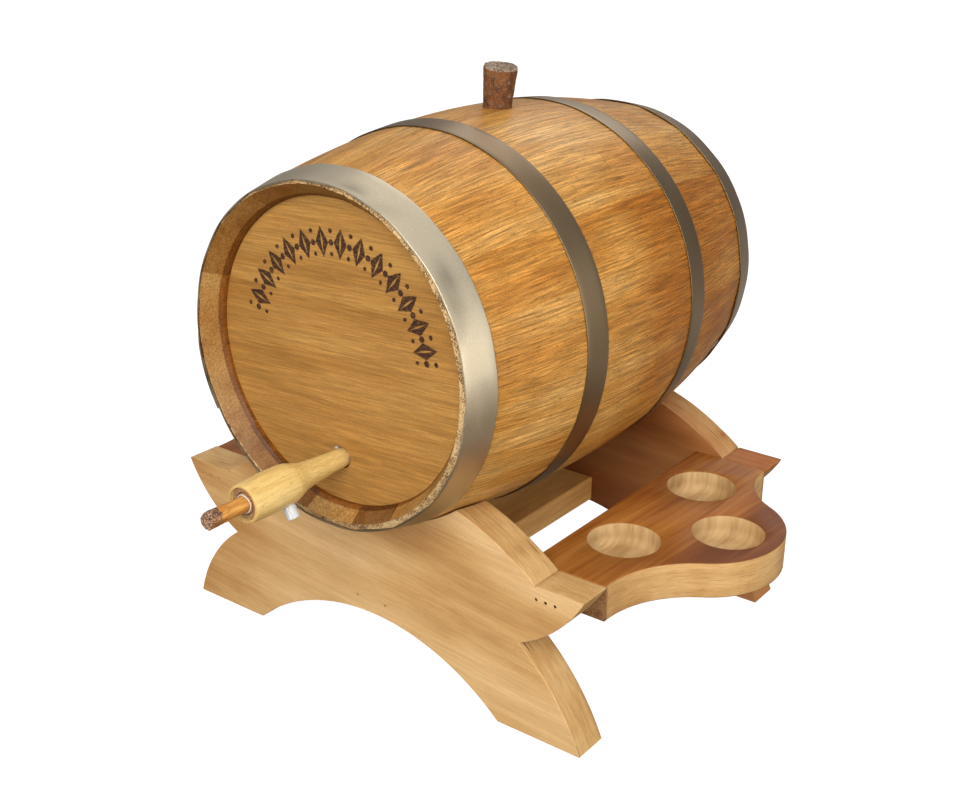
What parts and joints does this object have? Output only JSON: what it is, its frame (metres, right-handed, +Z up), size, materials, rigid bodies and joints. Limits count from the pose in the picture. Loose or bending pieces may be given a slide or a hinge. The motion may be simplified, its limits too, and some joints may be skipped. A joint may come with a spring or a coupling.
{
  "type": "wine barrel on a cradle",
  "caption": "Small oak wine barrel with steel hoops, bung and wooden tap, lying in a nailed board cradle with cup shelves.",
  "frame": {"origin": "on the floor, under the middle of the whole object's box; the barrel's axis is 191 mm above the floor and its middle 40.35 mm behind the origin", "axes": "+X to the right when facing the tap, -Y the way the tap points, +Z up"},
  "size_m": [0.3742, 0.3608, 0.32],
  "materials": {
    "stave_oak": "honey-brown oak, satin clear coat, fine lengthwise grain",
    "head_oak": "honey-brown oak, thin matt coat",
    "hoop_steel": "galvanised strip, dull grey with soft dark blotches",
    "nail_steel": "dull dark steel",
    "bung_wood": "dark brown, rough turned",
    "tap_wood": "pale turned wood, waxed",
    "tap_cork": "speckled cork, matt",
    "key_wood": "orange-brown turned wood with a dark rough tip",
    "tap_plastic": "milky plastic tube",
    "cradle_pine": "light tan board wood, satin",
    "shelf_pine": "reddish-brown stained top, pale sawn edges"
  },
  "bodies": {
    "cradle": {"front_cradle_board": "cradle_pine", "rear_cradle_board": "cradle_pine", "right_cup_shelf": "shelf_pine", "left_cup_shelf": "shelf_pine", "centre_rail": "cradle_pine", "front_right_shelf_nail_1": "nail_steel", "front_right_shelf_nail_2": "nail_steel", "front_right_shelf_nail_3": "nail_steel", "front_left_shelf_nail_1": "nail_steel", "front_left_shelf_nail_2": "nail_steel", "front_left_shelf_nail_3": "nail_steel", "rear_right_shelf_nail_1": "nail_steel", "rear_right_shelf_nail_2": "nail_steel", "rear_right_shelf_nail_3": "nail_steel", "rear_left_shelf_nail_1": "nail_steel", "rear_left_shelf_nail_2": "nail_steel", "rear_left_shelf_nail_3": "nail_steel", "front_rail_nail_1": "nail_steel", "front_rail_nail_2": "nail_steel", "rear_rail_nail_1": "nail_steel", "rear_rail_nail_2": "nail_steel"},
    "barrel": {"stave_01": "stave_oak", "stave_02": "stave_oak", "stave_03": "stave_oak", "stave_04": "stave_oak", "stave_06": "stave_oak", "stave_07": "stave_oak", "stave_08": "stave_oak", "stave_09": "stave_oak", "stave_10": "stave_oak", "stave_11": "stave_oak", "stave_12": "stave_oak", "stave_13": "stave_oak", "stave_14": "stave_oak", "stave_15": "stave_oak", "stave_16": "stave_oak", "stave_17": "stave_oak", "stave_18": "stave_oak", "bung_stave": "stave_oak", "front_head_top_board": "head_oak", "front_head_middle_board": "head_oak", "front_head_bottom_board": "head_oak", "rear_head_top_board": "head_oak", "rear_head_middle_board": "head_oak", "rear_head_bottom_board": "head_oak", "front_head_hoop": "hoop_steel", "front_bilge_hoop": "hoop_steel", "rear_head_hoop": "hoop_steel", "rear_bilge_hoop": "hoop_steel", "front_head_hoop_rivet": "nail_steel", "front_bilge_hoop_rivet": "nail_steel", "rear_head_hoop_rivet": "nail_steel", "rear_bilge_hoop_rivet": "nail_steel", "tap_body": "tap_wood", "tap_cork_bush": "tap_cork", "tap_sleeve": "tap_plastic", "tap_spout": "tap_plastic"},
    "bung": {"bung": "bung_wood"},
    "tap_key": {"tap_key": "key_wood"}
  },
  "joints": [
    {"name": "barrel_lift", "type": "slide", "parent": "cradle", "child": "barrel", "axis": [0, 0, 1], "range_m": [0, 0.15]},
    {"name": "bung_pull", "type": "slide", "parent": "barrel", "child": "bung", "axis": [0.1355, -0.0593, 0.989], "range_m": [0, 0.04]},
    {"name": "tap_turn", "type": "hinge", "parent": "barrel", "child": "tap_key", "pos_m": [0.002, -0.14965, 0.1349], "axis": [0, -1, 0], "continuous": true}
  ]
}
